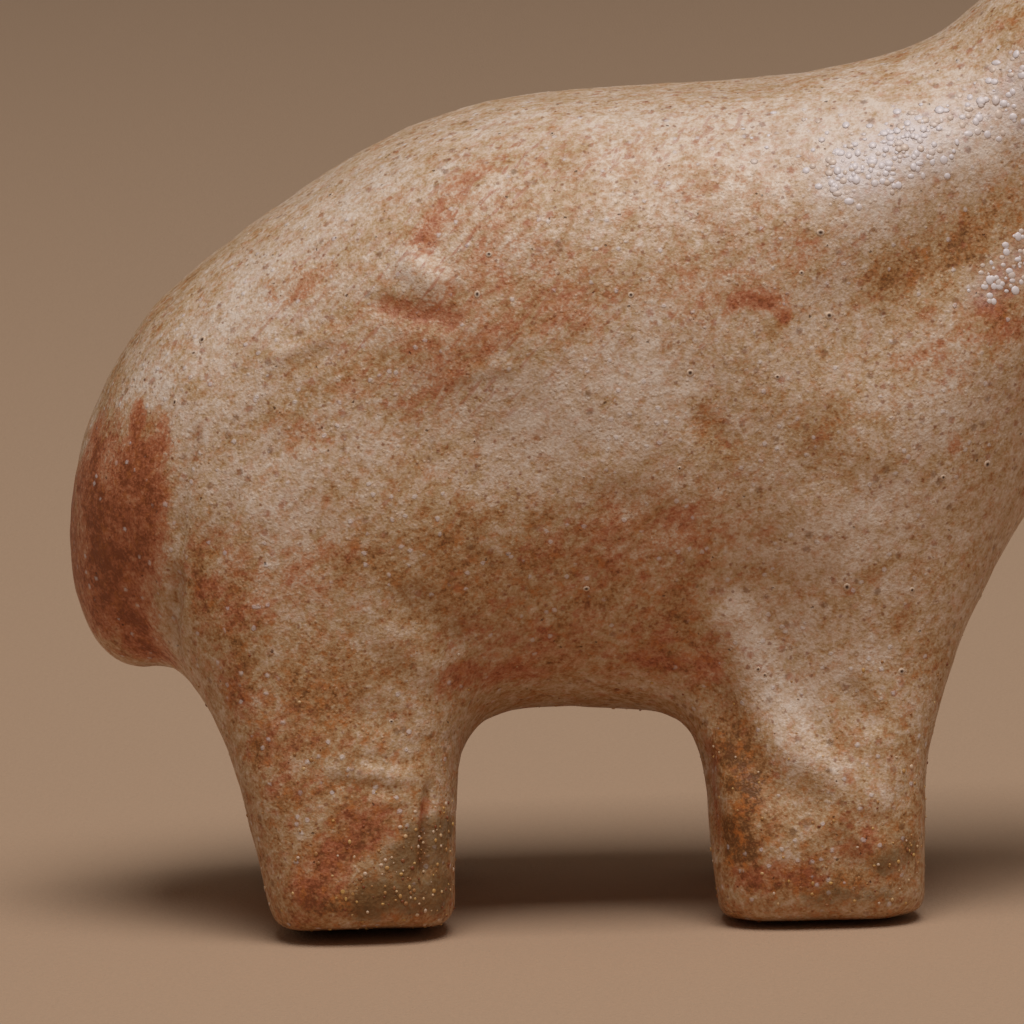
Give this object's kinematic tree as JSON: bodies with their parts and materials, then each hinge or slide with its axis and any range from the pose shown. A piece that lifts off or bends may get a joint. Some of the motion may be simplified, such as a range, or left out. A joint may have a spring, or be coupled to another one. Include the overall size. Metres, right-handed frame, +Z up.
{
  "type": "tapir figurine",
  "caption": "Small hand-modelled clay tapir standing on four stub legs, with a thick tail lobe, a rounded back, small cupped ears and a short drooping snout.",
  "frame": {"origin": "on the ground under the middle of the figure's outline box", "axes": "+X from the tail to the snout, +Y to the tapir's left side, +Z up"},
  "size_m": [0.1152, 0.043, 0.0876],
  "materials": {
    "fired_clay": "burnished cream slip over orange-brown clay, mottled and lightly waxy"
  },
  "bodies": {
    "root": {"tapir": "fired_clay"}
  },
  "joints": []
}
